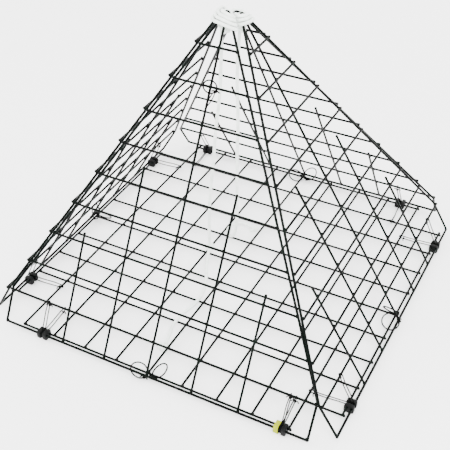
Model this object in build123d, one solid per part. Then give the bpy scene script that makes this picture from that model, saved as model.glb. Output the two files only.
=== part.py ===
from build123d import *
from math import acos, asin, cos, degrees, pi, radians, sin, tan
import os

# Folding pyramid crab trap, closed. +Z up, origin at the middle of the footprint on the ground.
# The front side faces -Y, and the others follow at quarter turns: right +X, back +Y, left -X.

# base grid
PITCH = 50.8
INNER = 4
EDGE = 5 * PITCH
WIRE_R = 1.6
STUB = 2.0
LOW_Z = 6.6
SINK = 0.1
HIGH_Z = LOW_Z + 2 * WIRE_R - SINK

# side panels, in panel coordinates: x along the edge, y up the slope, z outward
HINGE_OUT = 260.6
HINGE_Z = 8.15
FRAME_R = 1.75
FRAME_BEND = 3.0
HALF_WIDTH = 230.4
BEND_UP = 50.8
PANEL_UP = 482.6
TIP_OFF_APEX = 11.0
APEX_BACK = -9.0
CROSS_WIRES = 9
CROSS_STEP = PANEL_UP / (CROSS_WIRES + 1)
CROSS_OUT = FRAME_R + WIRE_R - SINK
CROSS_STUB = 0.4
UPRIGHT_GAP = 67.2
UPRIGHT_OUT = CROSS_OUT - 2 * WIRE_R + SINK
UPRIGHT_TOPS = {-2: 3.25, -1: 5.5, 1: 5.5, 2: 3.25}
CENTRE_TOP = PANEL_UP - 9.2

# hinge clips
CLIP_PLACES = {"front": (-169.5, 193.5), "right": (-183.5, 172.5), "back": (-173.0, 188.0), "left": (-178.0, 171.0)}
LOBE = 5.8
GROOVE = 3.8
CLIP_IN = 10.9
CLIP_OUT = 3.0
CLIP_WIDE = CLIP_IN + CLIP_OUT
CLIP_MIDDLE = -HINGE_OUT + (CLIP_IN - CLIP_OUT) / 2
CLIP_TOP = 12.8
CLIP_ROUND = 3.4
BORE_GAP = 0.25
HELD_GAP = 0.1
SPINE_TOP = 3.4
BAND = 0.7
BAND_GAP = 0.1
BAND_WIDE = 6.4
BAND_SHIFT = 0.3

# thin black cord: stays at the clips and rings at mid edge
THIN_R = 0.7
THIN_GAP = 0.1
STAY_SHIFT = 0.8
STAY_DRIFT = 2.5
RING_CORD_R = 0.9
RING_R = 12.0
RINGS = {
    "front": [((-13.7, -256.0, 8.6), (0.49, 0.08, 0.87)), ((11.7, -245.5, 9.1), (-0.50, -0.22, 0.84))],
    "right": [((2.0, -245.7, 10.8), (0.57, -0.16, 0.81)), ((-21.0, -252.6, 12.0), (-0.82, -0.24, 0.52))],
    "back": [((-10.7, -257.1, 14.3), (-0.77, 0.63, 0.02)), ((13.6, -252.7, 6.8), (-0.38, 0.15, 0.91))],
    "left": [((-6.1, -245.1, 8.3), (-0.50, 0.13, 0.85)), ((-0.1, -256.4, 15.9), (0.81, -0.48, 0.34))],
}
HIGH_RING_R = 9.0
HIGH_RING_STEP = 8
HIGH_RING_OUT = 1.7
HIGH_RING_NORMAL = (0.55, 0.55, 0.63)

# white cord
CORD_R = 2.25
CORD_GAP = 0.15
ARC_SHARE = 0.45
LASH_FIRST = 6.0
LASH_TURNS = {"front": 4, "right": 3, "back": 3, "left": 3}
LASH_STEP = 4.6
LASH_EXTRA = 0.6
TIE_X = -5.4
TIE_R = WIRE_R + CORD_GAP + CORD_R

BACK_CORD = [
    (2.2, 8.0, 396.0),
    (-3.0, 12.0, 350.0),
    (-6.0, 14.5, 300.0),
    (-4.5, 16.0, 247.0),
    (-7.0, 16.5, 192.0),
    (-6.5, 15.5, 140.0),
    (-7.5, 17.5, 95.0),
    (-9.5, 19.5, 62.0),
    (-16.0, 26.5, 37.0),
    (-28.0, 37.0, 19.5),
    (-41.0, 49.5, 14.0),
    (-47.5, 65.0, 12.2),
    (-42.5, 81.0, 11.8),
    (-28.5, 87.5, 11.8),
    (-14.5, 81.5, 12.0),
]
LEFT_CORD = [
    (-16.7, -5.1, 401.5),
    (-19.0, -4.5, 350.0),
    (-21.0, -4.5, 296.0),
    (-28.0, -6.5, 240.0),
    (-31.5, -8.0, 184.0),
    (-38.0, -9.0, 130.0),
    (-41.0, -7.5, 82.0),
    (-45.0, -2.5, 48.0),
    (-47.0, 2.4, 25.0),
]
BASE_CORD = [
    (-47.0, 1.5, 15.6),
    (-42.5, -13.5, 13.6),
    (-31.0, -37.5, 11.4),
    (-17.0, -64.5, 11.2),
    (-8.5, -90.5, 11.2),
    (-9.0, -117.5, 11.2),
    (-15.5, -142.5, 11.2),
    (-15.5, -165.5, 11.2),
    (-9.0, -184.5, 11.4),
    (TIE_X, -198.2, 13.2),
]
KNOT_R = 7.0
BASE_KNOT_AT = (-47.0, 2.5, 17.4)
BACK_KNOT_AT = (-9.8, 79.5, 12.4)

SIDES = {"front": 0, "right": 90, "back": 180, "left": 270}


def round_bar(start, end, radius):
    """A straight round bar between two points."""
    run = Vector(*end) - Vector(*start)
    return Plane(origin=start, z_dir=run) * Cylinder(radius, run.length, align=(Align.CENTER, Align.CENTER, Align.MIN))


def tube_along(path, radius):
    """A round tube that follows a path."""
    return sweep((path ^ 0) * Circle(radius), path=path)


def bend_radii(points):
    """Arc radii for a cord route: a share of the shorter run over the tangent of half the turn."""
    radii = []
    for before, here, after in zip(points, points[1:], points[2:]):
        first = Vector(*here) - Vector(*before)
        second = Vector(*after) - Vector(*here)
        turn = first.get_angle(second)
        radii.append(ARC_SHARE * min(first.length, second.length) / tan(radians(turn) / 2))
    return radii


def cord_tube(points, name):
    """A cord's tube: straight runs joined by tangent arcs."""
    radii = bend_radii(points)
    path = FilletPolyline(*points, radius=radii)
    tube = tube_along(path, CORD_R)
    area = pi * CORD_R**2
    print(name, "radii", [round(r, 1) for r in radii])
    print(name, "length", round(path.length, 1), "volume ratio", round(tube.volume / (area * path.length), 4))
    return tube


def belt(length, start_r, end_r):
    """A closed loop of thin cord round two parallel bars, in its own XY plane."""
    lean = asin((start_r - end_r) / length)
    a = (start_r * sin(lean), start_r * cos(lean))
    b = (length + end_r * sin(lean), end_r * cos(lean))
    c = (b[0], -b[1])
    d = (a[0], -a[1])
    path = Line(a, b) + ThreePointArc(b, (length + end_r, 0), c) + Line(c, d) + ThreePointArc(d, (-start_r, 0), a)
    return tube_along(path, THIN_R)


def stay(along, drift, start, end, start_bar, end_bar):
    """A belt of thin cord that drifts along the edge. Points are (out from the hinge, up) pairs."""
    run = Vector(0, start[0] - end[0], end[1] - start[1])
    ahead = run + Vector(drift, 0, 0)
    square = Vector(1, 0, 0) - run * (drift / run.length**2)
    plane = Plane(origin=(along, -HINGE_OUT - start[0], start[1]), x_dir=ahead, z_dir=square)
    return plane * belt(ahead.length, start_bar + THIN_GAP + THIN_R, end_bar + THIN_GAP + THIN_R)


def turned(shape, side):
    """The front side's shape, at another side."""
    return Rotation(0, 0, SIDES[side]) * shape


def slide(side):
    """How far a side panel has slid along its hinge, to close over the apex."""
    return APEX_BACK * sin(radians(SIDES[side]))


def lean(side):
    """A side panel's angle from the ground when the trap is closed."""
    tip_out = TIP_OFF_APEX - APEX_BACK * cos(radians(SIDES[side]))
    return acos((HINGE_OUT - tip_out) / PANEL_UP)


def panel_plane(side):
    """A side panel's plane, as if it stood at the front."""
    angle = lean(side)
    return Plane(origin=(slide(side), -HINGE_OUT, HINGE_Z), x_dir=(1, 0, 0), z_dir=(0, -sin(angle), cos(angle)))


def half_width(up):
    """Distance from the panel's centre line to its side wire."""
    if up <= BEND_UP:
        return HALF_WIDTH
    return HALF_WIDTH * (PANEL_UP - up) / (PANEL_UP - BEND_UP)


def panel_frame(side):
    """The bent frame wire: hinge run, two short sides, two slants meeting at the tip."""
    right_side = [(HALF_WIDTH, 0, 0), (HALF_WIDTH, BEND_UP, 0)]
    left_side = [(-HALF_WIDTH, BEND_UP, 0), (-HALF_WIDTH, 0, 0)]
    path = FilletPolyline(*right_side, (0, PANEL_UP, 0), *left_side, radius=FRAME_BEND, close=True)
    return panel_plane(side) * tube_along(path, FRAME_R)


def panel_cross_wires(side):
    """Nine level wires across the outside of the frame."""
    plane = panel_plane(side)
    wires = []
    for step in range(1, CROSS_WIRES + 1):
        up = step * CROSS_STEP
        reach = half_width(up) + CROSS_STUB
        wires.append(plane * round_bar((-reach, up, CROSS_OUT), (reach, up, CROSS_OUT), WIRE_R))
    return wires


def panel_uprights(side):
    """Five wires up the slope: the middle one reaches the tip, the others end free."""
    plane = panel_plane(side)
    wires = []
    foot = FRAME_R - SINK
    for place, steps in UPRIGHT_TOPS.items():
        across = place * UPRIGHT_GAP
        top = steps * CROSS_STEP
        wires.append(plane * round_bar((across, foot, UPRIGHT_OUT), (across, top, UPRIGHT_OUT), WIRE_R))
    wires.append(plane * round_bar((0, foot, UPRIGHT_OUT), (0, CENTRE_TOP, UPRIGHT_OUT), WIRE_R))
    return wires


def panel_lashing(side):
    """Turns of white cord round the two slants and the middle upright, just under the tip."""
    turns = []
    end_r = FRAME_R + CORD_GAP + CORD_R
    for turn in range(LASH_TURNS[side]):
        down = LASH_FIRST + turn * LASH_STEP
        reach = half_width(PANEL_UP - down) + LASH_EXTRA
        right = (reach + end_r, 0)
        left = (-reach - end_r, 0)
        path = Line((-reach, end_r), (reach, end_r)) + ThreePointArc((reach, end_r), right, (reach, -end_r))
        path = path + Line((reach, -end_r), (-reach, -end_r)) + ThreePointArc((-reach, -end_r), left, (-reach, end_r))
        level = Plane(origin=(0, PANEL_UP - down, 0), x_dir=(1, 0, 0), z_dir=(0, 1, 0))
        turns.append(panel_plane(side) * level * tube_along(path, CORD_R))
    return turns


def panel_stays(side):
    """The two thin loops from the hinge wire, inside the clips, to the panel's first cross wire."""
    angle = lean(side)
    up = CROSS_STEP
    start = (0, HINGE_Z)
    out = -up * cos(angle) + CROSS_OUT * sin(angle)
    end = (out, HINGE_Z + up * sin(angle) + CROSS_OUT * cos(angle))
    return [stay(place + STAY_SHIFT, STAY_DRIFT, start, end, FRAME_R, WIRE_R) for place in CLIP_PLACES[side]]


def edge_height(side):
    """Height of the base's edge wire at a side: front and back are in the low layer."""
    if side in ("front", "back"):
        return LOW_Z
    return HIGH_Z


def base_stays(side):
    """The two thin loops from the edge wire, inside the clips, to the base's first inner wire."""
    edge = (EDGE - HINGE_OUT, edge_height(side))
    inner = (PITCH * INNER - HINGE_OUT, edge_height(side))
    return [stay(place - STAY_SHIFT, -STAY_DRIFT, edge, inner, WIRE_R, WIRE_R) for place in CLIP_PLACES[side]]


def rounded_block(length, inset):
    """A clip's outline as a block along the edge, drawn in all round by the inset."""
    block = Box(length, CLIP_WIDE - 2 * inset, CLIP_TOP - 2 * inset)
    return fillet(block.edges().filter_by(Axis.X), CLIP_ROUND - inset)


def clip_lobe(inset, along, length, side):
    """One lobe of a hinge clip, bored for the hinge wire and the base's edge wire."""
    block = Pos(along, CLIP_MIDDLE, CLIP_TOP / 2) * rounded_block(length, inset)
    across = Rotation(0, 90, 0)
    bore = Pos(along, -HINGE_OUT, HINGE_Z) * across * Cylinder(FRAME_R + BORE_GAP, length + 2)
    held = Pos(along, -EDGE, edge_height(side)) * across * Cylinder(WIRE_R + HELD_GAP, length + 2)
    return block - bore - held


def clip_spine(along, low):
    """The foot that joins a clip's two lobes under the wires."""
    wide = CLIP_WIDE - 2 * CLIP_ROUND
    return Pos(along, CLIP_MIDDLE, (SPINE_TOP + low) / 2) * Box(GROOVE + 1, wide, SPINE_TOP - low)


def hinge_clip(place, side, banded):
    """A moulded clip of two lobes. A banded clip's left lobe is smaller, to seat the band."""
    shift = (LOBE + GROOVE) / 2
    inset = BAND + BAND_GAP if banded else 0.0
    left = clip_lobe(inset, place - shift, LOBE, side)
    right = clip_lobe(0.0, place + shift, LOBE, side)
    return left + right + clip_spine(place, inset)


def yellow_band(place):
    """A flat band round the smaller lobe of the banded clip."""
    hoop = rounded_block(BAND_WIDE, 0.0) - rounded_block(BAND_WIDE + 2, BAND)
    along = place - (LOBE + GROOVE) / 2 - BAND_SHIFT
    return Pos(along, CLIP_MIDDLE, CLIP_TOP / 2) * hoop


def edge_rings(side):
    """Two thin round rings near mid edge, clear of the middle upright, each round a base wire or the hinge wire."""
    return [Plane(origin=centre, z_dir=normal) * Torus(RING_R, RING_CORD_R) for centre, normal in RINGS[side]]


def high_ring():
    """The thin ring at the front panel's middle upright, round its crossing with the eighth cross wire."""
    centre = (0, HIGH_RING_STEP * CROSS_STEP, HIGH_RING_OUT)
    ring = Plane(origin=centre, z_dir=HIGH_RING_NORMAL) * Torus(HIGH_RING_R, RING_CORD_R)
    return panel_plane("front") * ring


def base_edge_wires():
    """Four edge wires. They stop short of the corners, so the corner cells are open."""
    reach = INNER * PITCH + STUB
    wires = []
    for way in (-1, 1):
        wires.append(round_bar((-reach, way * EDGE, LOW_Z), (reach, way * EDGE, LOW_Z), WIRE_R))
        wires.append(round_bar((way * EDGE, -reach, HIGH_Z), (way * EDGE, reach, HIGH_Z), WIRE_R))
    return wires


def base_low_wires():
    """Nine inner wires that run left to right."""
    reach = EDGE + STUB
    rows = range(-INNER, INNER + 1)
    return [round_bar((-reach, row * PITCH, LOW_Z), (reach, row * PITCH, LOW_Z), WIRE_R) for row in rows]


def base_high_wires():
    """Nine inner wires that run front to back, on top."""
    reach = EDGE + STUB
    rows = range(-INNER, INNER + 1)
    return [round_bar((row * PITCH, -reach, HIGH_Z), (row * PITCH, reach, HIGH_Z), WIRE_R) for row in rows]


def cord_tie():
    """The turn of white cord round the base wire where the base cord is tied."""
    return Pos(TIE_X, -INNER * PITCH, LOW_Z) * Rotation(0, 90, 0) * Torus(TIE_R, CORD_R)


def cord_knot(place, cord):
    """The knot at a cord's free end, open where the cord enters it."""
    return Pos(*place) * Sphere(KNOT_R) - cord


def save(name, shapes):
    """One STEP file for one node."""
    shapes = shapes if isinstance(shapes, list) else [shapes]
    solids = [solid for shape in shapes for solid in shape.solids()]
    whole = solids[0] if len(solids) == 1 else Compound(children=solids)
    whole.label = name
    export_step(whole, f"parts/{name}.step")


def save_base():
    """Nodes that stay with the base."""
    save("base_edge_wires", base_edge_wires())
    save("base_low_wires", base_low_wires())
    save("base_high_wires", base_high_wires())
    for side in SIDES:
        for word, place in zip(("a", "b"), CLIP_PLACES[side]):
            banded = side == "front" and word == "b"
            save(f"hinge_clip_{side}_{word}", turned(hinge_clip(place, side, banded), side))
        save(f"edge_rings_{side}", [turned(ring, side) for ring in edge_rings(side)])
        save(f"base_stays_{side}", [turned(loop, side) for loop in base_stays(side)])
    save("yellow_band", yellow_band(CLIP_PLACES["front"][1]))


def save_panels():
    """Nodes that swing with each side panel."""
    for side in SIDES:
        save(f"{side}_frame", turned(panel_frame(side), side))
        save(f"{side}_cross_wires", [turned(wire, side) for wire in panel_cross_wires(side)])
        save(f"{side}_uprights", [turned(wire, side) for wire in panel_uprights(side)])
        save(f"{side}_lashing", [turned(turn, side) for turn in panel_lashing(side)])
        save(f"{side}_stays", [turned(loop, side) for loop in panel_stays(side)])
    save("front_high_ring", high_ring())


def save_cords():
    """The white cord's hanging and lying lengths, with the tie and the knot."""
    back_cord = cord_tube(BACK_CORD, "back_cord")
    base_cord = cord_tube(BASE_CORD, "base_cord")
    save("back_cord", back_cord)
    save("left_cord", cord_tube(LEFT_CORD, "left_cord"))
    save("base_cord", base_cord)
    save("cord_tie", cord_tie())
    save("base_cord_knot", cord_knot(BASE_KNOT_AT, base_cord))
    save("back_cord_knot", cord_knot(BACK_KNOT_AT, back_cord))


os.makedirs("parts", exist_ok=True)
print("panel leans", {side: round(degrees(lean(side)), 2) for side in SIDES})
save_base()
save_panels()
save_cords()
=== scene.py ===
from math import acos, asin, atan2, ceil, cos, pi, radians, sin, tan

import bpy
import numpy as np
from mathutils import Matrix, Vector


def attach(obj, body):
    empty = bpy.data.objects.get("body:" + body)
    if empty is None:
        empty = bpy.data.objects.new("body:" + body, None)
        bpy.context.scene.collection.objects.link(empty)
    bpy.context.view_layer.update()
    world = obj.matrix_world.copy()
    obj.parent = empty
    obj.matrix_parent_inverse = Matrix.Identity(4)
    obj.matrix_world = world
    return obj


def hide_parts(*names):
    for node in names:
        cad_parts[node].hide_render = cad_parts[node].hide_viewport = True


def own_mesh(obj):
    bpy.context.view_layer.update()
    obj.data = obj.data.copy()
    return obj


# Folding pyramid crab trap, standing closed. Metres, +Z up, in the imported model's frame.
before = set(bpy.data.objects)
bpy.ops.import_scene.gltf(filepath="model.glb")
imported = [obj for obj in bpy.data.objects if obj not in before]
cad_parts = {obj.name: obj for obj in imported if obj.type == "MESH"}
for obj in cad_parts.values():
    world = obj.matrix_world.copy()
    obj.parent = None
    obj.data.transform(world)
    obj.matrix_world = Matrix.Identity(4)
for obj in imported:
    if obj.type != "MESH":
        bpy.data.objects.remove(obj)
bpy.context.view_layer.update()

# camera
TARGET = Vector((-0.0146, -0.0078, 0.0791))
DISTANCE = 1.3004
AZIMUTH = 28.09
ELEVATION = 38.02
ROLL = -0.73
LENS = 70.67

# floor and light
FLOOR_REACH = 6.0
SKY = 3.9

# base grid
PITCH = 0.0508
INNER = 4
EDGE = 5 * PITCH
WIRE_R = 0.0016
STUB = 0.0020
LOW_Z = 0.0066
HIGH_Z = 0.0097

# side panels, in panel coordinates: x along the edge, y up the slope, z outward
HINGE_OUT = 0.2606
HINGE_Z = 0.00815
FRAME_R = 0.00175
FRAME_BEND = 0.0030
HALF_WIDTH = 0.2304
BEND_UP = 0.0508
PANEL_UP = 0.4826
TIP_OFF_APEX = 0.0110
APEX_BACK = -0.0090
SINK = 0.0001
CROSS_WIRES = 9
CROSS_STEP = PANEL_UP / (CROSS_WIRES + 1)
CROSS_OUT = FRAME_R + WIRE_R - SINK
CROSS_STUB = 0.0004
UPRIGHT_GAP = 0.0672
UPRIGHT_OUT = CROSS_OUT - 2 * WIRE_R + SINK
UPRIGHT_TOPS = {-2: 3.25, -1: 5.5, 1: 5.5, 2: 3.25}
CENTRE_TOP = PANEL_UP - 0.0092

# the coating: webs at welds, as (share of the radius, height), beads at wires' ends, and a ripple
WELD_R = 0.0026
FOOT_WELD_R = 0.0029
UPRIGHT_WELD_R = 0.0024
WELD_IN = 0.0006
FOOT_WELD_IN = 0.0008
WELD_HALF = ((0.30, 0.62), (0.72, 0.45), (0.95, 0.2), (1.0, 0.0))
BEAD = 0.22
BEAD_REACH = 0.9 * WIRE_R
RIPPLE = 0.012
RIPPLE_RATE = 900
WIRE_SPACING = 0.012
ARC_POINTS = 8
RUN_SPACING = 0.010

# hinge clips
CLIP_PLACES = {
    "front": (-0.1695, 0.1935),
    "right": (-0.1835, 0.1725),
    "back": (-0.1730, 0.1880),
    "left": (-0.1780, 0.1710),
}
LOBE = 0.0058
GROOVE = 0.0038
CLIP_IN = 0.0109
CLIP_OUT = 0.0030
CLIP_WIDE = CLIP_IN + CLIP_OUT
CLIP_MIDDLE = -HINGE_OUT + (CLIP_IN - CLIP_OUT) / 2
CLIP_TOP = 0.0128
CLIP_ROUND = 0.0034
BORE_GAP = 0.00025
HELD_GAP = 0.0001
SPINE_TOP = 0.0034
BAND = 0.0007
BAND_GAP = 0.0001
BAND_WIDE = 0.0064
BAND_SHIFT = 0.0003
# a lobe's outline, from its end inwards: distance from the end, and how far it is drawn in
LOBE_END = ((0.0, 0.0009), (0.0002, 0.0005), (0.0006, 0.00018), (0.0012, 0.00004))
# the parting ridge at a lobe's middle: half of its width, and how far it is drawn in
LOBE_RIDGE = ((0.0004, 0.0), (0.00018, 0.0), (0.00010, -0.00012))
SHARP_ANGLE = radians(38)
FOOT_LAP = 0.0005
FOOT_BEVEL = 0.0004
SPINE_BEVEL = 0.0005
BAND_BEVEL = 0.0002
BAND_WAVE = 0.00012

# thin black cord at the clips and near mid edge
THIN_R = 0.0007
THIN_GAP = 0.0001
THIN_STEP = 0.0006
THIN_PITCH = 0.0034
THIN_PLY = 0.12
STAY_SHIFT = 0.0008
STAY_DRIFT = 0.0025
BASE_STAY_SAG = 0.0010
BASE_STAY_BOW = 0.0020
PANEL_STAY_SAG = 0.0008
PANEL_STAY_BOW = 0.0018
STAY_KNOT_IN = 0.0050
RING_CORD_R = 0.0009
RING_R = 0.0120
# each side's rings in the front side's place: (centre, axis)
RINGS = {
    "front": [
        ((-0.0137, -0.2560, 0.0086), (0.49, 0.08, 0.87)),
        ((0.0117, -0.2455, 0.0091), (-0.50, -0.22, 0.84)),
    ],
    "right": [
        ((0.0020, -0.2457, 0.0108), (0.57, -0.16, 0.81)),
        ((-0.0210, -0.2526, 0.0120), (-0.82, -0.24, 0.52)),
    ],
    "back": [
        ((-0.0107, -0.2571, 0.0143), (-0.77, 0.63, 0.02)),
        ((0.0136, -0.2527, 0.0068), (-0.38, 0.15, 0.91)),
    ],
    "left": [
        ((-0.0061, -0.2451, 0.0083), (-0.50, 0.13, 0.85)),
        ((-0.0001, -0.2564, 0.0159), (0.81, -0.48, 0.34)),
    ],
}
HIGH_RING_R = 0.0090
HIGH_RING_STEP = 8
HIGH_RING_OUT = 0.0017
HIGH_RING_NORMAL = (0.55, 0.55, 0.63)
BIGHT_DROP = 0.0105
BIGHT_SWAY = 0.0035
BIGHT_HALF_WIDE = 0.0019
BIGHT_OUT = 0.0025

# white cord
CORD_R = 0.00225
CORD_GAP = 0.00015
CORD_STEP = 0.0006
LASH_FIRST = 0.0060
LASH_TURNS = {"front": 4, "right": 3, "back": 3, "left": 3}
LASH_STEP = 0.0046
LASH_EXTRA = 0.0006
LASH_DRIFT = 0.0005
LASH_TILT = 0.0012
LASH_KNOT_IN = 0.0085
LASH_KNOT_SCALE = 0.0015
TIE_X = -0.0054
TIE_R = WIRE_R + CORD_GAP + CORD_R
TIE_TURNS = 2.25
TIE_MIDDLE = TIE_X - 0.0023
BRAID_PAIRS = 5
BRAID_PITCH = 0.0125
BRAID_DEPTH = 0.13

BACK_CORD = [
    (0.0022, 0.0080, 0.3960),
    (-0.0030, 0.0120, 0.3500),
    (-0.0060, 0.0145, 0.3000),
    (-0.0045, 0.0160, 0.2470),
    (-0.0070, 0.0165, 0.1920),
    (-0.0065, 0.0155, 0.1400),
    (-0.0075, 0.0175, 0.0950),
    (-0.0095, 0.0195, 0.0620),
    (-0.0160, 0.0265, 0.0370),
    (-0.0280, 0.0370, 0.0195),
    (-0.0410, 0.0495, 0.0140),
    (-0.0475, 0.0650, 0.0122),
    (-0.0425, 0.0810, 0.0118),
    (-0.0285, 0.0875, 0.0118),
    (-0.0145, 0.0815, 0.0120),
]
LEFT_CORD = [
    (-0.0167, -0.0051, 0.4015),
    (-0.0190, -0.0045, 0.3500),
    (-0.0210, -0.0045, 0.2960),
    (-0.0280, -0.0065, 0.2400),
    (-0.0315, -0.0080, 0.1840),
    (-0.0380, -0.0090, 0.1300),
    (-0.0410, -0.0075, 0.0820),
    (-0.0450, -0.0025, 0.0480),
    (-0.0470, 0.0024, 0.0250),
]
BASE_CORD = [
    (-0.0470, 0.0015, 0.0156),
    (-0.0425, -0.0135, 0.0136),
    (-0.0310, -0.0375, 0.0114),
    (-0.0170, -0.0645, 0.0112),
    (-0.0085, -0.0905, 0.0112),
    (-0.0090, -0.1175, 0.0112),
    (-0.0155, -0.1425, 0.0112),
    (-0.0155, -0.1655, 0.0112),
    (-0.0090, -0.1845, 0.0114),
    (TIE_X, -0.1982, 0.0132),
]
BASE_KNOT_AT = (-0.0470, 0.0025, 0.0174)
BACK_KNOT_AT = (-0.0098, 0.0795, 0.0124)
KNOT_SCALE = 0.0018
ROUTE_RESOLUTION = 40

SIDES = {"front": 0, "right": 90, "back": 180, "left": 270}


def slide(side):
    """How far a side panel has slid along its hinge, to close over the apex."""
    return APEX_BACK * sin(radians(SIDES[side]))


def lean(side):
    """A side panel's angle from the ground when the trap is closed."""
    tip_out = TIP_OFF_APEX - APEX_BACK * cos(radians(SIDES[side]))
    return acos((HINGE_OUT - tip_out) / PANEL_UP)


def panel_matrix(side):
    """From a side panel's coordinates to the trap's frame."""
    angle = lean(side)
    slope = Matrix((
        (1, 0, 0, slide(side)),
        (0, cos(angle), -sin(angle), -HINGE_OUT),
        (0, sin(angle), cos(angle), HINGE_Z),
        (0, 0, 0, 1),
    ))
    return side_matrix(side) @ slope


def side_matrix(side):
    """From the front side to another side."""
    return Matrix.Rotation(radians(SIDES[side]), 4, "Z")


def moved(points, matrix):
    """Points carried by a 4x4 matrix."""
    m = np.array(matrix)
    return np.asarray(points, float) @ m[:3, :3].T + m[:3, 3]


# ---------------------------------------------------------------- mesh building


class Skin:
    """Vertices and faces gathered for one piece."""

    def __init__(self):
        self.points = []
        self.faces = []

    def rings(self, rings, closed_run):
        """Quads between rings of points. A closed run joins its last ring to its first."""
        start = len(self.points)
        sides = len(rings[0])
        count = len(rings)
        for ring in rings:
            self.points.extend(map(tuple, ring))
        for i in range(count if closed_run else count - 1):
            here = start + i * sides
            there = start + (i + 1) % count * sides
            for j in range(sides):
                k = (j + 1) % sides
                self.faces.append((here + j, here + k, there + k, there + j))
        if not closed_run:
            self.faces.append(tuple(reversed(range(start, start + sides))))
            self.faces.append(tuple(range(start + (count - 1) * sides, start + count * sides)))

    def piece(self, name, material, matrix=None):
        """The gathered mesh as an object, smooth shaded."""
        points = self.points if matrix is None else moved(self.points, matrix).tolist()
        mesh = bpy.data.meshes.new(name)
        mesh.from_pydata(points, [], self.faces)
        mesh.polygons.foreach_set("use_smooth", [True] * len(mesh.polygons))
        mesh.materials.append(material)
        mesh.update()
        made = bpy.data.objects.new(name, mesh)
        bpy.context.scene.collection.objects.link(made)
        return made


def unit(vectors):
    """Rows scaled to length one."""
    return vectors / np.linalg.norm(vectors, axis=-1, keepdims=True)


def carried(points, closed):
    """Tangent and two side directions along a line, carried without twist."""
    ahead = np.roll(points, -1, 0) - np.roll(points, 1, 0) if closed else np.gradient(points, axis=0)
    tangents = unit(ahead)
    side = unit(np.cross(tangents[0], (0.31, 0.52, 0.79)))
    first = side
    sides = []
    for tangent in tangents:
        side = unit(side - tangent * np.dot(side, tangent))
        sides.append(side)
    sides = np.array(sides)
    if closed:
        last = unit(side - tangents[0] * np.dot(side, tangents[0]))
        slip = atan2(np.dot(np.cross(first, last), tangents[0]), np.dot(first, last))
        turn = -slip * np.arange(len(points)) / len(points)
        sides = sides * np.cos(turn)[:, None] + np.cross(tangents, sides) * np.sin(turn)[:, None]
    return tangents, sides, np.cross(tangents, sides)


def run_length(points):
    """Distance along a line at each of its points."""
    steps = np.linalg.norm(np.diff(points, axis=0), axis=1)
    return np.concatenate(([0.0], np.cumsum(steps)))


def evenly(points, step):
    """A line read again at even distances."""
    along = run_length(points)
    count = max(2, ceil(along[-1] / step) + 1)
    at = np.linspace(0, along[-1], count)
    return np.stack([np.interp(at, along, points[:, axis]) for axis in range(3)], axis=1)


def tube(skin, points, radius, sides=12, closed=False, relief=None):
    """A round bar or cord along a line, with domed ends.

    Relief gives the radius by angle and distance.
    """
    points = np.asarray(points, float)
    tangents, a, b = carried(points, closed)
    angles = np.arange(sides) * 2 * pi / sides
    around = np.cos(angles)[None, :, None] * a[:, None, :]
    around = around + np.sin(angles)[None, :, None] * b[:, None, :]
    along = run_length(points)
    grown = np.ones((len(points), sides)) if relief is None else relief(angles[None, :], along[:, None])
    rings = points[:, None, :] + around * (radius * grown)[:, :, None]
    if closed:
        skin.rings(rings, True)
        return
    before = []
    after = []
    for rise in map(radians, (72, 48, 24)):
        ahead = radius * sin(rise)
        wide = radius * cos(rise)
        before.append(points[0] - tangents[0] * ahead + around[0] * wide)
        after.insert(0, points[-1] + tangents[-1] * ahead + around[-1] * wide)
    skin.rings(np.concatenate((before, rings, after)), False)


def weld(skin, place, normal, reach):
    """The coating's web where two wires cross: a lens, wider across the crossing's corners."""
    normal = unit(np.array(normal, float))
    a = unit(np.cross(normal, (0.41, 0.83, 0.37)))
    b = np.cross(normal, a)
    angles = np.arange(12) * pi / 6
    flat = np.cos(angles)[:, None] * a + np.sin(angles)[:, None] * b
    profile = WELD_HALF + tuple((share, -height) for share, height in reversed(WELD_HALF[:-1]))
    rings = [np.array(place) + flat * reach * share + normal * reach * height for share, height in profile]
    skin.rings(rings[::-1], False)


def thin_relief(angle, along):
    """Radius of the thin cord: two plies twisted together."""
    return 1.0 + THIN_PLY * np.abs(np.cos(angle - 2 * pi * along / THIN_PITCH))


def coated(length):
    """Radius along a coated wire: a slight ripple, and a bead of coating at each end."""

    def relief(angle, along):
        ends = np.exp(-((along / BEAD_REACH) ** 2)) + np.exp(-(((length - along) / BEAD_REACH) ** 2))
        return 1.0 + RIPPLE * np.sin(along * RIPPLE_RATE + 2 * angle) + BEAD * ends

    return relief


def wire(skin, start, end):
    """A straight coated wire, with more rings near its beaded ends."""
    start = np.array(start, float)
    end = np.array(end, float)
    length = float(np.linalg.norm(end - start))
    near = np.array([0.0, 0.5, 1.0, 1.6, 2.4, 3.6]) * WIRE_R
    middle = np.linspace(6 * WIRE_R, length - 6 * WIRE_R, max(3, int(length / WIRE_SPACING)))
    along = np.concatenate((near, middle, length - near[::-1]))
    points = start + (end - start) * (along / length)[:, None]
    tube(skin, points, WIRE_R, 14, relief=coated(length))


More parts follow.
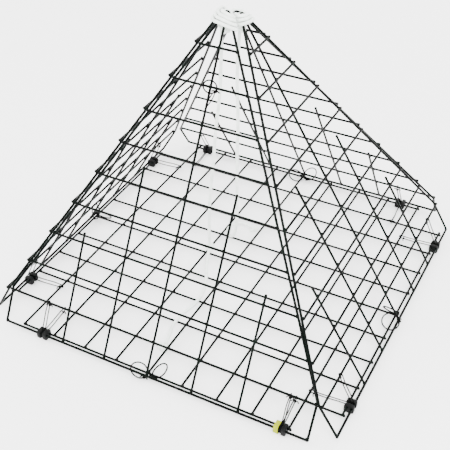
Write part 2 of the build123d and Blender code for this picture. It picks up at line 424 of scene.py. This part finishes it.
def rounded_loop(corners, bend):
    """A closed line through corners, with the bends rounded and points along the runs."""
    corners = np.array(corners, float)
    arcs = []
    for before, here, after in zip(np.roll(corners, 1, 0), corners, np.roll(corners, -1, 0)):
        a = unit(before - here)
        b = unit(after - here)
        half = acos(max(-1.0, min(1.0, float(a @ b)))) / 2
        centre = here + unit(a + b) * bend / sin(half)
        first = unit(here + a * bend / tan(half) - centre)
        last = unit(here + b * bend / tan(half) - centre)
        shares = np.linspace(0, 1, ARC_POINTS)[:, None]
        arcs.append(centre + unit(first * (1 - shares) + last * shares) * bend)
    line = []
    for arc, following in zip(arcs, arcs[1:] + arcs[:1]):
        line.extend(arc)
        run = following[0] - arc[-1]
        count = int(np.linalg.norm(run) / RUN_SPACING)
        line.extend(arc[-1] + run * share for share in np.linspace(0, 1, count)[1:-1])
    return np.array(line)


# ---------------------------------------------------------------- materials


# the colour sockets of Blender's mix node
MIX_FIRST = 6
MIX_SECOND = 7
MIX_RESULT = 2


class Shader:
    """A node material, built node by node."""

    def __init__(self, name):
        self.material = bpy.data.materials.new(name)
        self.material.use_nodes = True
        self.nodes = self.material.node_tree.nodes
        self.links = self.material.node_tree.links
        self.main = self.nodes["Principled BSDF"]
        self.where = self.nodes.new("ShaderNodeTexCoord").outputs["Object"]

    def noise(self, scale, detail=4.0, rough=0.55):
        """Noise in the piece's own space. Scale is features per metre."""
        node = self.nodes.new("ShaderNodeTexNoise")
        node.inputs["Scale"].default_value = scale
        node.inputs["Detail"].default_value = detail
        node.inputs["Roughness"].default_value = rough
        self.links.new(self.where, node.inputs["Vector"])
        return node.outputs["Fac"]

    def ramp(self, source, stops):
        """A colour ramp. Stops are (place, colour or grey)."""
        node = self.nodes.new("ShaderNodeValToRGB")
        ramp = node.color_ramp
        while len(ramp.elements) < len(stops):
            ramp.elements.new(0.5)
        for element, (place, colour) in zip(ramp.elements, stops):
            element.position = place
            grey = isinstance(colour, (int, float))
            element.color = (colour, colour, colour, 1) if grey else (*colour, 1)
        self.links.new(source, node.inputs["Fac"])
        return node.outputs["Color"]

    def mix(self, share, first, second):
        """Two colours mixed by a share."""
        node = self.nodes.new("ShaderNodeMix")
        node.data_type = "RGBA"
        self.links.new(share, node.inputs["Factor"])
        for value, place in ((first, MIX_FIRST), (second, MIX_SECOND)):
            if isinstance(value, tuple):
                node.inputs[place].default_value = (*value, 1)
            else:
                self.links.new(value, node.inputs[place])
        return node.outputs[MIX_RESULT]

    def sum(self, first, second, share):
        """The first value plus a share of the second."""
        node = self.nodes.new("ShaderNodeMath")
        node.operation = "MULTIPLY_ADD"
        self.links.new(second, node.inputs[0])
        node.inputs[1].default_value = share
        self.links.new(first, node.inputs[2])
        return node.outputs[0]

    def bump(self, height, distance):
        """Bump of a real height in metres."""
        node = self.nodes.new("ShaderNodeBump")
        node.inputs["Strength"].default_value = 1.0
        node.inputs["Distance"].default_value = distance
        self.links.new(height, node.inputs["Height"])
        self.links.new(node.outputs["Normal"], self.main.inputs["Normal"])

    def set(self, **values):
        """Values of the surface's inputs, or links into them."""
        for name, value in values.items():
            socket = self.main.inputs[name.replace("_", " ")]
            if isinstance(value, bpy.types.NodeSocket):
                self.links.new(value, socket)
            else:
                socket.default_value = value


def coated_wire_material():
    """Black vinyl with a green cast, rippled, with rubbed and dusty patches."""
    s = Shader("coated_wire")
    dark = (0.0004, 0.0008, 0.0006)
    middle = (0.0008, 0.0020, 0.0013)
    green = (0.0015, 0.0045, 0.0028)
    tint = s.ramp(s.noise(55), [(0.3, dark), (0.55, middle), (0.8, green)])
    rub = s.ramp(s.noise(210, 6, 0.7), [(0.64, 0.0), (0.76, 1.0)])
    colour = s.mix(rub, tint, (0.005, 0.008, 0.006))
    rough = s.ramp(s.noise(320, 5), [(0.25, 0.16), (0.75, 0.34)])
    s.set(Base_Color=colour, Roughness=rough, Specular_IOR_Level=0.035)
    s.bump(s.sum(s.noise(260, 3), s.noise(1500, 3), 0.3), 0.00012)
    return s.material


def clip_material():
    """Moulded black plastic with a fine grain and worn corners."""
    s = Shader("clip_plastic")
    tint = s.ramp(s.noise(120), [(0.3, (0.0008, 0.0009, 0.0009)), (0.7, (0.0025, 0.0027, 0.0027))])
    scuff = s.ramp(s.noise(520, 6, 0.7), [(0.60, 0.0), (0.72, 1.0)])
    colour = s.mix(scuff, tint, (0.014, 0.015, 0.015))
    rough = s.ramp(s.noise(900), [(0.3, 0.34), (0.7, 0.58)])
    s.set(Base_Color=colour, Roughness=rough, Specular_IOR_Level=0.08)
    s.bump(s.sum(s.noise(700, 4), s.noise(2600, 2), 0.5), 0.00008)
    return s.material


def band_material():
    """Soft yellow rubber, dusty in places."""
    s = Shader("yellow_band")
    tint = s.ramp(s.noise(260, 5), [(0.3, (0.20, 0.22, 0.0003)), (0.7, (0.28, 0.31, 0.0008))])
    rough = s.ramp(s.noise(700), [(0.3, 0.45), (0.7, 0.70)])
    s.set(Base_Color=tint, Roughness=rough, Specular_IOR_Level=0.08)
    s.bump(s.noise(1800, 3), 0.00006)
    return s.material


def thin_cord_material():
    """Thin black elastic cord, slightly fuzzy."""
    s = Shader("thin_cord")
    tint = s.ramp(s.noise(900, 4), [(0.3, (0.0006, 0.0007, 0.0006)), (0.7, (0.0020, 0.0022, 0.0020))])
    rough = s.ramp(s.noise(1400), [(0.3, 0.55), (0.7, 0.85)])
    s.set(Base_Color=tint, Roughness=rough, Specular_IOR_Level=0.02)
    s.set(Sheen_Weight=0.004, Sheen_Roughness=0.5)
    s.bump(s.noise(3500, 2), 0.00008)
    return s.material


def white_cord_material():
    """White braided cord with a faint green cast, grubby in patches, with fine fibres."""
    s = Shader("white_cord")
    clean = s.ramp(s.noise(130, 4), [(0.3, (0.66, 0.72, 0.67)), (0.7, (0.84, 0.88, 0.84))])
    grime = s.ramp(s.noise(60, 6, 0.65), [(0.55, 0.0), (0.80, 0.5)])
    colour = s.mix(grime, clean, (0.47, 0.50, 0.43))
    rough = s.ramp(s.noise(1100), [(0.3, 0.62), (0.7, 0.88)])
    s.set(Base_Color=colour, Roughness=rough, Sheen_Weight=0.45, Sheen_Roughness=0.4)
    s.bump(s.noise(4200, 3, 0.7), 0.00014)
    return s.material


def floor_material():
    """Plain pale floor."""
    s = Shader("floor")
    s.set(Base_Color=s.ramp(s.noise(3.0), [(0.3, 0.92), (0.7, 0.94)]), Roughness=0.75)
    return s.material


COATED = coated_wire_material()
PLASTIC = clip_material()
YELLOW = band_material()
THIN = thin_cord_material()
WHITE = white_cord_material()


# ---------------------------------------------------------------- camera, floor and light


def aim(obj, place, target, roll=0.0):
    """Puts a camera or light at a place, looking at a target."""
    obj.location = place
    look = (target - place).to_track_quat("-Z", "Y").to_matrix().to_4x4()
    obj.rotation_euler = (look @ Matrix.Rotation(radians(roll), 4, "Z")).to_euler()


def make_camera():
    """The camera at the viewing angle, level but for a slight roll."""
    data = bpy.data.cameras.new("camera")
    data.lens = LENS
    data.sensor_width = 36.0
    data.clip_start = 0.05
    data.clip_end = 30.0
    camera = bpy.data.objects.new("camera", data)
    bpy.context.scene.collection.objects.link(camera)
    turn = radians(AZIMUTH)
    rise = radians(ELEVATION)
    back = Vector((sin(turn) * cos(rise), -cos(turn) * cos(rise), sin(rise)))
    aim(camera, TARGET + back * DISTANCE, TARGET, ROLL)
    bpy.context.scene.camera = camera


def area_light(name, place, target, size, power):
    """A soft square light."""
    data = bpy.data.lights.new(name, "AREA")
    data.size = size
    data.energy = power
    light = bpy.data.objects.new(name, data)
    bpy.context.scene.collection.objects.link(light)
    aim(light, Vector(place), Vector(target))


def make_stage():
    """A pale floor, a pale sky and three soft lights."""
    skin = Skin()
    far = FLOOR_REACH
    skin.points = [(-far, -far, 0), (far, -far, 0), (far, far, 0), (-far, far, 0)]
    skin.faces = [(0, 1, 2, 3)]
    skin.piece("floor", floor_material())
    world = bpy.data.worlds.new("sky")
    world.use_nodes = True
    sky = world.node_tree.nodes["Background"]
    sky.inputs["Color"].default_value = (1, 1, 1, 1)
    sky.inputs["Strength"].default_value = SKY
    bpy.context.scene.world = world
    area_light("key", (0.9, -1.3, 1.9), (0, 0, 0.15), 0.9, 90)
    area_light("fill", (-1.7, -0.6, 1.3), (0, 0, 0.15), 1.4, 36)
    area_light("back", (0.4, 1.9, 1.6), (0, 0, 0.15), 1.4, 36)


make_camera()
make_stage()


# ---------------------------------------------------------------- white cord


def nurbs_line(name, points):
    """Points of the smooth line that a cord's route controls."""
    curve = bpy.data.curves.new(name, "CURVE")
    curve.dimensions = "3D"
    curve.resolution_u = ROUTE_RESOLUTION
    spline = curve.splines.new("NURBS")
    spline.points.add(len(points) - 1)
    for point, place in zip(spline.points, points):
        point.co = (*place, 1)
    spline.order_u = 3
    spline.use_endpoint_u = True
    holder = bpy.data.objects.new(name, curve)
    bpy.context.scene.collection.objects.link(holder)
    mesh = bpy.data.meshes.new_from_object(holder)
    line = np.array([tuple(v.co) for v in mesh.vertices])
    bpy.data.objects.remove(holder)
    bpy.data.meshes.remove(mesh)
    return line


def braid(angle, along):
    """Radius of a braided cord: strands of two hands pass over and under each other."""
    right = BRAID_PAIRS * (angle / (2 * pi) + along / BRAID_PITCH)
    left = BRAID_PAIRS * (angle / (2 * pi) - along / BRAID_PITCH)
    over = (np.floor(right * 2) + np.floor(left * 2)) % 2
    right_hump = np.abs(np.sin(pi * 2 * right))
    left_hump = np.abs(np.sin(pi * 2 * left))
    right_over = right_hump**0.6 * (0.55 + 0.45 * left_hump)
    left_over = left_hump**0.6 * (0.55 + 0.45 * right_hump)
    hump = np.where(over > 0.5, right_over, left_over)
    return 1.0 - BRAID_DEPTH + BRAID_DEPTH * hump


def cord_piece(name, line, matrix=None, closed=False):
    """A length of braided cord along a line."""
    skin = Skin()
    tube(skin, line, CORD_R, 20, closed, braid)
    return skin.piece(name, WHITE, matrix)


def knot_line(place, scale, facing):
    """A closed overhand knot about a place, with its flat way facing a direction."""
    t = np.linspace(0, 2 * pi, 90, endpoint=False)
    across = np.sin(t) + 2 * np.sin(2 * t)
    along = np.cos(t) - 2 * np.cos(2 * t)
    line = np.stack([across, along, -1.15 * np.sin(3 * t)], axis=1)
    turn = np.array(Vector(facing).to_track_quat("Z", "Y").to_matrix())
    return np.array(place) + line * scale @ turn.T


def ridden(piece, body, slot, *nodes):
    """A piece attached to its body, with the nodes that it stands for hidden."""
    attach(piece, body)
    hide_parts(*nodes)
    return piece


def lay_down(piece):
    """Gives a piece of cord a mesh of its own."""
    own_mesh(piece)


def hanging_cord(name, route, side):
    """A cord that hangs from a tip to a knot."""
    line = evenly(nurbs_line(name + "_route", route), CORD_STEP)
    piece = ridden(cord_piece(name + "_braid", line), f"{side}_panel", "white_cord", name)
    lay_down(piece)


def knot_piece(name, place, facing, body, *nodes):
    """An overhand knot in the cord."""
    line = knot_line(place, KNOT_SCALE, facing)
    return ridden(cord_piece(name, line, closed=True), body, "white_cord", *nodes)


def tie_line():
    """Two turns round the base's first wire."""
    t = np.linspace(0, TIE_TURNS, 120)
    angle = 2 * pi * t + pi / 2
    across = TIE_MIDDLE + LASH_STEP * (t - TIE_TURNS / 2)
    out = -INNER * PITCH + TIE_R * np.cos(angle)
    return np.stack([across, out, LOW_Z + TIE_R * np.sin(angle)], axis=1)


def make_cords():
    """The three lengths of cord, their knots and the tie."""
    back_knot = knot_piece("back_knot_braid", BACK_KNOT_AT, (0.2, 0.1, 1), "back_panel", "back_cord_knot")
    base_knot = knot_piece("base_knot_braid", BASE_KNOT_AT, (0.5, -0.6, 1), "base", "base_cord_knot")
    tie = ridden(cord_piece("cord_tie_braid", tie_line()), "base", "white_cord", "cord_tie")
    lay_down(back_knot)
    hanging_cord("back_cord", BACK_CORD, "back")
    hanging_cord("left_cord", LEFT_CORD, "left")
    line = evenly(nurbs_line("base_cord_route", BASE_CORD), CORD_STEP)
    piece = ridden(cord_piece("base_cord_braid", line), "base", "white_cord", "base_cord")


# ---------------------------------------------------------------- wire work


def half_width(up):
    """Distance from a panel's middle to its side wire."""
    return HALF_WIDTH if up <= BEND_UP else HALF_WIDTH * (PANEL_UP - up) / (PANEL_UP - BEND_UP)


def make_base_wires():
    """Edge wires, the two layers of inner wires, and the welds between them."""
    reach = INNER * PITCH + STUB
    edge = Skin()
    for way in (-1, 1):
        wire(edge, (-reach, way * EDGE, LOW_Z), (reach, way * EDGE, LOW_Z))
        wire(edge, (way * EDGE, -reach, HIGH_Z), (way * EDGE, reach, HIGH_Z))
    reach = EDGE + STUB
    low_wires = Skin()
    high_wires = Skin()
    between = (LOW_Z + HIGH_Z) / 2
    rows = [row * PITCH for row in range(-INNER, INNER + 1)]
    for row in rows:
        wire(low_wires, (-reach, row, LOW_Z), (reach, row, LOW_Z))
        wire(high_wires, (row, -reach, HIGH_Z), (row, reach, HIGH_Z))
        for across in rows:
            weld(high_wires, (row, across, between), (0, 0, 1), WELD_R)
        for way in (-1, 1):
            weld(edge, (row, way * EDGE, between), (0, 0, 1), WELD_R)
            weld(edge, (way * EDGE, row, between), (0, 0, 1), WELD_R)
    skins = {"base_edge_wires": edge, "base_low_wires": low_wires, "base_high_wires": high_wires}
    for node, skin in skins.items():
        ridden(skin.piece(node + "_coated", COATED), "base", "coated_wire", node)


def panel_frame():
    """The bent frame wire, with a weld bead at each foot."""
    skin = Skin()
    right_run = [(HALF_WIDTH, 0, 0), (HALF_WIDTH, BEND_UP, 0)]
    left_run = [(-HALF_WIDTH, BEND_UP, 0), (-HALF_WIDTH, 0, 0)]
    corners = right_run + [(0, PANEL_UP, 0)] + left_run
    tube(skin, rounded_loop(corners, FRAME_BEND), FRAME_R, 16, True)
    for way in (-1, 1):
        weld(skin, (way * (HALF_WIDTH - FOOT_WELD_IN), FOOT_WELD_IN, 0), (0, 0, 1), FOOT_WELD_R)
    return skin


def panel_cross_wires():
    """Nine level wires over the outside of the frame, welded to its slants."""
    skin = Skin()
    for step in range(1, CROSS_WIRES + 1):
        up = step * CROSS_STEP
        reach = half_width(up) + CROSS_STUB
        wire(skin, (-reach, up, CROSS_OUT), (reach, up, CROSS_OUT))
        for way in (-1, 1):
            place = (way * (half_width(up) - WELD_IN), up, CROSS_OUT / 2)
            weld(skin, place, (0, 0, 1), WELD_R)
    return skin


def panel_uprights():
    """Five wires up the slope, welded to the frame's foot and to the cross wires that they pass."""
    skin = Skin()
    foot = FRAME_R - SINK
    tops = {place: steps * CROSS_STEP for place, steps in UPRIGHT_TOPS.items()}
    tops[0] = CENTRE_TOP
    for place, top in tops.items():
        across = place * UPRIGHT_GAP
        wire(skin, (across, foot, UPRIGHT_OUT), (across, top, UPRIGHT_OUT))
        weld(skin, (across, foot, UPRIGHT_OUT), (0, 1, 0), UPRIGHT_WELD_R)
        for step in range(1, CROSS_WIRES + 1):
            if step * CROSS_STEP < top:
                weld(skin, (across, step * CROSS_STEP, (CROSS_OUT + UPRIGHT_OUT) / 2), (0, 0, 1), WELD_R)
    return skin


def make_panel_wires():
    """Frame, cross wires and uprights of each side panel."""
    makers = {"frame": panel_frame, "cross_wires": panel_cross_wires, "uprights": panel_uprights}
    for side in SIDES:
        for word, make in makers.items():
            node = f"{side}_{word}"
            piece = make().piece(node + "_coated", COATED, panel_matrix(side))
            ridden(piece, f"{side}_panel", "coated_wire", node)


# ---------------------------------------------------------------- lashings


def lashing_line(turns, seed):
    """One cord wound round a tip's three wires, in panel coordinates. Its ends are inside."""
    t = np.linspace(0, turns, 120 * turns)
    rng = np.random.default_rng(seed)
    wander = np.interp(t, np.linspace(0, turns, 4 * turns + 1), rng.uniform(-1, 1, 4 * turns + 1))
    down = LASH_FIRST + LASH_STEP * (t - 0.5) + LASH_DRIFT * wander
    down = down + LASH_TILT * np.sin(2 * pi * t + seed)
    reach = HALF_WIDTH * down / (PANEL_UP - BEND_UP) + LASH_EXTRA
    end_r = FRAME_R + CORD_GAP + CORD_R
    run = (t % 1) * (4 * reach + 2 * pi * end_r)
    across = np.zeros_like(t)
    out = np.zeros_like(t)
    for i, (r, d) in enumerate(zip(reach, run)):
        if d < r:
            across[i], out[i] = -d, -end_r
        elif d < r + pi * end_r:
            turn = (d - r) / end_r
            across[i], out[i] = -r - end_r * sin(turn), -end_r * cos(turn)
        elif d < 3 * r + pi * end_r:
            across[i], out[i] = -r + (d - r - pi * end_r), end_r
        elif d < 3 * r + 2 * pi * end_r:
            turn = (d - 3 * r - pi * end_r) / end_r
            across[i], out[i] = r + end_r * sin(turn), end_r * cos(turn)
        else:
            across[i], out[i] = r - (d - 3 * r - 2 * pi * end_r), -end_r
    return evenly(np.stack([across, PANEL_UP - down, out], axis=1), CORD_STEP)


def make_lashings():
    """The wound cord at each tip, and the knot inside it that the winding ends in."""
    for seed, side in enumerate(SIDES):
        matrix = panel_matrix(side)
        winding = cord_piece(f"{side}_lashing_cord", lashing_line(LASH_TURNS[side], seed + 3), matrix)
        ridden(winding, f"{side}_panel", "white_cord", f"{side}_lashing")
        down = LASH_FIRST + LASH_TURNS[side] * LASH_STEP
        place = (0.001 * (seed - 1), PANEL_UP - down, -LASH_KNOT_IN)
        line = moved(knot_line(place, LASH_KNOT_SCALE, (0.2, 0.3, -1)), matrix)
        knot = cord_piece(f"{side}_lashing_knot", line, closed=True)
        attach(knot, f"{side}_panel")


# ---------------------------------------------------------------- thin black cord


def slack_run(start, end, bow, sag):
    """Points of a slack run between two places, bowed sideways and sagging."""
    line = []
    for share in np.linspace(0, 1, 60)[1:-1]:
        lift = np.sin(pi * share) ** 1.3
        aside = bow * lift * (0.6 + 0.4 * cos(5 * share))
        line.append(start * (1 - share) + end * share + np.array((aside, 0, -sag * lift)))
    return line


def loose_loop(start, end, start_r, end_r, sag, bow):
    """A slack loop round two parallel bars, as points (along, out, up) of the front side."""
    start = np.array(start, float)
    end = np.array(end, float)
    run = end - start
    length = float(np.linalg.norm(run))
    ahead = run / length
    above = unit(np.cross((1.0, 0.0, 0.0), ahead))
    lean_in = asin((start_r - end_r) / length)
    around_start = np.linspace(pi / 2 - lean_in, 3 * pi / 2 + lean_in, 22)
    around_end = np.linspace(-pi / 2 + lean_in, pi / 2 - lean_in, 22)
    first = [start + start_r * (ahead * cos(t) + above * sin(t)) for t in around_start]
    last = [end + end_r * (ahead * cos(t) + above * sin(t)) for t in around_end]
    there = slack_run(first[-1], last[0], bow, sag)
    back = slack_run(last[-1], first[0], -bow, 0.35 * sag)
    return evenly(np.array(first + there + last + back + first[:1]), THIN_STEP)[:-1]


def thin_knot(skin, place, radius=THIN_R):
    """A small overhand knot in the thin cord, with two short tails."""
    line = knot_line(place, 0.65 * radius, (0.3, 0.5, 1))
    tube(skin, line, radius, 8, True, thin_relief)
    for way in (-1, 1):
        t = np.linspace(0, 1, 14)
        tail = np.stack([way * 0.0052 * t, 0.002 * t - 0.003 * t * t, 0.0016 * np.sin(pi * t)], axis=1)
        tube(skin, np.array(place) + tail, radius, 8, relief=thin_relief)


def far_point(line, end):
    """The place on a loop a little before its far end, where its knot sits."""
    away = np.linalg.norm(line - np.array(end), axis=1)
    return int(np.argmin(np.abs(away - STAY_KNOT_IN)))


def clip_loops(side):
    """The loops in a side's clips, to the base's first inner wire and the panel's first cross wire."""
    level = LOW_Z if side in ("front", "back") else HIGH_Z
    angle = lean(side)
    hinge = (-HINGE_OUT, HINGE_Z)
    cross_out = CROSS_STEP * cos(angle) - CROSS_OUT * sin(angle) - HINGE_OUT
    cross_up = HINGE_Z + CROSS_STEP * sin(angle) + CROSS_OUT * cos(angle)
    wire_r = WIRE_R + THIN_GAP + THIN_R
    frame_r = FRAME_R + THIN_GAP + THIN_R
    base = Skin()
    panel = Skin()
    for place in CLIP_PLACES[side]:
        low_at = place - STAY_SHIFT
        high_at = place + STAY_SHIFT
        start = (low_at, -EDGE, level)
        end = (low_at - STAY_DRIFT, -INNER * PITCH, level)
        line = loose_loop(start, end, wire_r, wire_r, BASE_STAY_SAG, BASE_STAY_BOW)
        tube(base, line, THIN_R, 8, True, thin_relief)
        thin_knot(base, line[far_point(line, end)])
        start = (high_at, *hinge)
        end = (high_at + STAY_DRIFT, cross_out, cross_up)
        line = loose_loop(start, end, frame_r, wire_r, PANEL_STAY_SAG, PANEL_STAY_BOW)
        tube(panel, line, THIN_R, 8, True, thin_relief)
        thin_knot(panel, line[far_point(line, end)])
    return base, panel


def ring_line(centre, normal, radius):
    """A round ring, slightly out of round, as a closed line."""
    normal = unit(np.array(normal))
    a = unit(np.cross(normal, (0, 1, 0)))
    b = np.cross(normal, a)
    t = np.linspace(0, 2 * pi, int(2 * pi * radius / THIN_STEP), endpoint=False)
    wave = 1 + 0.015 * np.sin(2 * t + 40 * centre[0]) + 0.01 * np.sin(3 * t)
    return np.array(centre) + radius * wave[:, None] * (np.cos(t)[:, None] * a + np.sin(t)[:, None] * b)


def edge_rings(side):
    """Two thin rings near mid edge, each tied next to the middle upright's foot."""
    skin = Skin()
    foot = np.array((slide(side), -HINGE_OUT, HINGE_Z))
    for centre, normal in RINGS[side]:
        line = ring_line(centre, normal, RING_R)
        tube(skin, line, RING_CORD_R, 10, True, thin_relief)
        nearest = line[np.argmin(np.linalg.norm(line - foot, axis=1))]
        thin_knot(skin, nearest, RING_CORD_R)
    return skin


def high_ring():
    """The ring at the front panel's middle upright, with its hanging bight."""
    skin = Skin()
    centre = np.array((0.0, HIGH_RING_STEP * CROSS_STEP, HIGH_RING_OUT))
    line = ring_line(centre, HIGH_RING_NORMAL, HIGH_RING_R)
    tube(skin, line, RING_CORD_R, 10, True, thin_relief)
    knot = line[np.argmax(line @ np.array((1.0, 0.1, 0.2)))]
    thin_knot(skin, knot, RING_CORD_R)
    t = np.linspace(0, 2 * pi, 90, endpoint=False)
    fall = 1 - np.cos(t)
    across = BIGHT_HALF_WIDE * np.sin(t) - BIGHT_SWAY * fall
    bight = knot + np.stack([across, -BIGHT_DROP * fall, np.full_like(t, BIGHT_OUT)], axis=1)
    line = evenly(np.vstack([bight, bight[:1]]), THIN_STEP)[:-1]
    tube(skin, line, THIN_R, 8, True, thin_relief)
    return skin


def make_thin_cords():
    """The black loops at the clips and the rings near mid edge."""
    for side in SIDES:
        matrix = side_matrix(side)
        base, panel = clip_loops(side)
        made = base.piece(f"base_stays_{side}_cord", THIN, matrix)
        ridden(made, "base", "thin_cord", f"base_stays_{side}")
        made = panel.piece(f"{side}_stays_cord", THIN, matrix)
        ridden(made, f"{side}_panel", "thin_cord", f"{side}_stays")
        rings = edge_rings(side).piece(f"edge_rings_{side}_cord", THIN, matrix)
        ridden(rings, "base", "thin_cord", f"edge_rings_{side}")
    ring = high_ring().piece("front_high_ring_cord", THIN, panel_matrix("front"))
    ridden(ring, "front_panel", "thin_cord", "front_high_ring")


# ---------------------------------------------------------------- hinge clips


def block_outline(inset, count=7):
    """A clip's outline across the wires, drawn in by an inset: (out, up) points."""
    half_wide = CLIP_WIDE / 2 - inset
    half_tall = CLIP_TOP / 2 - inset
    bend = max(CLIP_ROUND - inset, 0.0004)
    points = []
    for quarter, (sx, sy) in enumerate(((1, 1), (-1, 1), (-1, -1), (1, -1))):
        for turn in np.linspace(0, pi / 2, count) + quarter * pi / 2:
            out = sx * (half_wide - bend) + bend * cos(turn)
            points.append((out, sy * (half_tall - bend) + bend * sin(turn)))
    return np.array(points) + np.array((CLIP_MIDDLE, CLIP_TOP / 2))


def add_lobe(skin, along, inset):
    """A lobe's outside: rounded ends, a draught to them, and a parting ridge where an inset leaves room."""
    stations = [(at - LOBE / 2, drawn) for at, drawn in LOBE_END]
    stations += [(-at, drawn) for at, drawn in LOBE_RIDGE]
    stations += [(-at, drawn) for at, drawn in reversed(stations)]
    rings = []
    for at, drawn in stations:
        outline = block_outline(max(inset + drawn, 0.0))
        rings.append(np.column_stack([np.full(len(outline), along + at), outline]))
    skin.rings(np.array(rings), False)


def bored(piece, cutters):
    """A piece with holes cut through it, smooth but for its sharp edges."""
    for cutter in cutters:
        cut = piece.modifiers.new("bore", "BOOLEAN")
        cut.operation = "DIFFERENCE"
        cut.solver = "EXACT"
        cut.object = cutter
    bpy.context.view_layer.update()
    seen = piece.evaluated_get(bpy.context.evaluated_depsgraph_get())
    mesh = bpy.data.meshes.new_from_object(seen)
    piece.modifiers.clear()
    piece.data = mesh
    mesh.set_sharp_from_angle(angle=SHARP_ANGLE)
    for cutter in cutters:
        bpy.data.objects.remove(cutter)


def clip_lobes(name, level, place, banded):
    """A clip's two lobes, bored for the hinge wire and the edge wire."""
    lobes = Skin()
    shift = (LOBE + GROOVE) / 2
    add_lobe(lobes, place - shift, BAND + BAND_GAP if banded else 0.0)
    add_lobe(lobes, place + shift, 0.0)
    made = lobes.piece(name, PLASTIC)
    reach = LOBE + GROOVE
    cutters = []
    for out, up, radius in ((-HINGE_OUT, HINGE_Z, FRAME_R + BORE_GAP), (-EDGE, level, WIRE_R + HELD_GAP)):
        bore = Skin()
        tube(bore, [(place + way * reach, out, up) for way in (-1, 0, 1)], radius, 24)
        cutters.append(bore.piece("bore", PLASTIC))
    bored(made, cutters)
    return made


def clip_foot(name, place, low):
    """The bevelled bar that joins a clip's lobes along its underside."""
    half = (CLIP_WIDE - 2 * CLIP_ROUND) / 2
    right = [
        (half - FOOT_BEVEL, low),
        (half, low + FOOT_BEVEL),
        (half, SPINE_TOP - SPINE_BEVEL),
        (half - SPINE_BEVEL, SPINE_TOP),
    ]
    left = [(-out, up) for out, up in reversed(right)]
    corners = left[-2:] + right + left[:2]
    lap = GROOVE / 2 + FOOT_LAP
    rings = [[(place + at, CLIP_MIDDLE + out, up) for out, up in corners] for at in (-lap, lap)]
    foot = Skin()
    foot.rings(np.array(rings), False)
    made = foot.piece(name, PLASTIC)
    made.data.set_sharp_from_angle(angle=SHARP_ANGLE)
    return made


def make_clips():
    """Two moulded clips on each side. The band's clip is drawn in under the band."""
    for side in SIDES:
        level = LOW_Z if side in ("front", "back") else HIGH_Z
        for word, place in zip(("a", "b"), CLIP_PLACES[side]):
            node = f"hinge_clip_{side}_{word}"
            banded = node == "hinge_clip_front_b"
            lobes = clip_lobes(node + "_moulded", level, place, banded)
            foot = clip_foot(node + "_foot", place, BAND + BAND_GAP if banded else 0.0)
            for piece in (lobes, foot):
                piece.data.transform(side_matrix(side))
                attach(piece, "base")
            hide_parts(node)


def make_band():
    """The yellow band: a soft strip with rolled lips, slightly uneven."""
    along = CLIP_PLACES["front"][1] - (LOBE + GROOVE) / 2 - BAND_SHIFT
    half = BAND_WIDE / 2
    edge = [(half - BAND_BEVEL, 0.0), (half, 0.3), (half, 0.7), (half - BAND_BEVEL, 1.0)]
    other_edge = [(-at, share) for at, share in reversed(edge)]
    section = other_edge + edge + [(half / 2, 1.06), (0.0, 0.96), (-half / 2, 1.06)]
    rings = []
    for number, (far, near) in enumerate(zip(block_outline(0.0, 12), block_outline(BAND, 12))):
        uneven = BAND_WAVE * sin(number * 1.9)
        rings.append([(along + at + uneven, *(near + (far - near) * share)) for at, share in section])
    skin = Skin()
    skin.rings(np.array(rings)[::-1], True)
    ridden(skin.piece("yellow_band_soft", YELLOW), "base", "yellow_band", "yellow_band")


make_cords()
make_base_wires()
make_panel_wires()
make_lashings()
make_thin_cords()
make_clips()
make_band()
